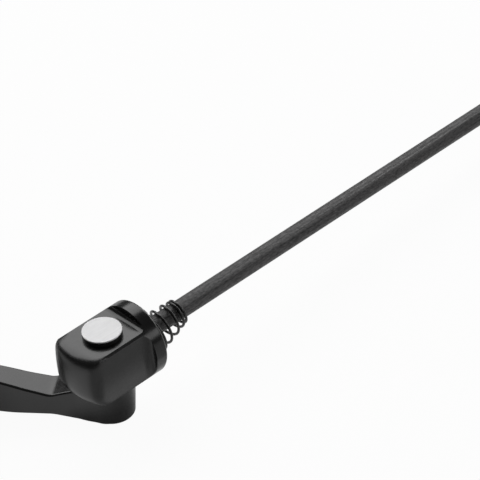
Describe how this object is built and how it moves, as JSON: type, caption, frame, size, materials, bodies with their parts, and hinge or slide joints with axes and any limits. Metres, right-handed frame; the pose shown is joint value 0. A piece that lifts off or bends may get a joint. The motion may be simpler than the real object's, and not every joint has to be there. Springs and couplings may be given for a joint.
{
  "type": "bicycle quick release skewer",
  "caption": "Quick release skewer with an internal cam: a lever on a milled housing pulls a long rod against an adjusting nut to clamp a bicycle wheel's hub in its frame.",
  "frame": {"origin": "on the rod's axis, in the plane of the lever side's clamping teeth", "axes": "+X along the rod towards the nut, +Z along the lever's pivot towards the capped side, +Y to complete the set"},
  "size_m": [0.2075, 0.0603, 0.0274],
  "materials": {
    "housing_paint": "gloss black paint",
    "ring_steel": "black oxide steel",
    "cap_black": "satin black",
    "cap_disc_bright": "fine brushed silver-white",
    "lever_paint": "satin black paint",
    "shaft_steel": "ground steel",
    "seal_rubber": "matte",
    "washer_brass": "plain",
    "clip_steel": "spring steel",
    "rod_black_steel": "drawn, black oxide",
    "spring_black": "black oxide wire",
    "nut_paint": "satin black paint",
    "insert_plastic": "nylon"
  },
  "bodies": {
    "housing": {"cam_housing": "housing_paint", "housing_clamp_ring": "ring_steel", "pivot_cap": "cap_black", "cap_disc": "cap_disc_bright"},
    "lever": {"lever": "lever_paint", "cam_shaft": "shaft_steel", "shaft_seal": "seal_rubber", "shaft_washer": "washer_brass", "shaft_retaining_ring": "clip_steel"},
    "rod": {"skewer_rod": "rod_black_steel", "inner_spring": "spring_black"},
    "outer_spring": {"outer_spring": "spring_black"},
    "nut": {"adjusting_nut": "nut_paint", "nut_clamp_ring": "ring_steel", "nut_lock_insert": "insert_plastic"}
  },
  "joints": [
    {"name": "lever_pivot", "type": "hinge", "parent": "housing", "child": "lever", "pos_m": [-0.012, 0, 0], "axis": [0, 0, 1], "range_deg": [-38, 142]},
    {"name": "rod_slide", "type": "slide", "parent": "housing", "child": "rod", "axis": [1, 0, 0], "range_m": [-0.00047, 0.00174]},
    {"name": "nut_travel", "type": "slide", "parent": "rod", "child": "outer_spring", "axis": [1, 0, 0], "range_m": [-0.01601, 0.00481]},
    {"name": "nut_spin", "type": "hinge", "parent": "outer_spring", "child": "nut", "pos_m": [0.15, 0, 0], "axis": [1, 0, 0], "range_deg": [-7200, 2160]}
  ],
  "couplings": [
    {"joint": "rod_slide", "follows": "lever_pivot", "m_per_rad": 0.00070028},
    {"joint": "nut_travel", "follows": "nut_spin", "m_per_rad": 0.00012732}
  ]
}
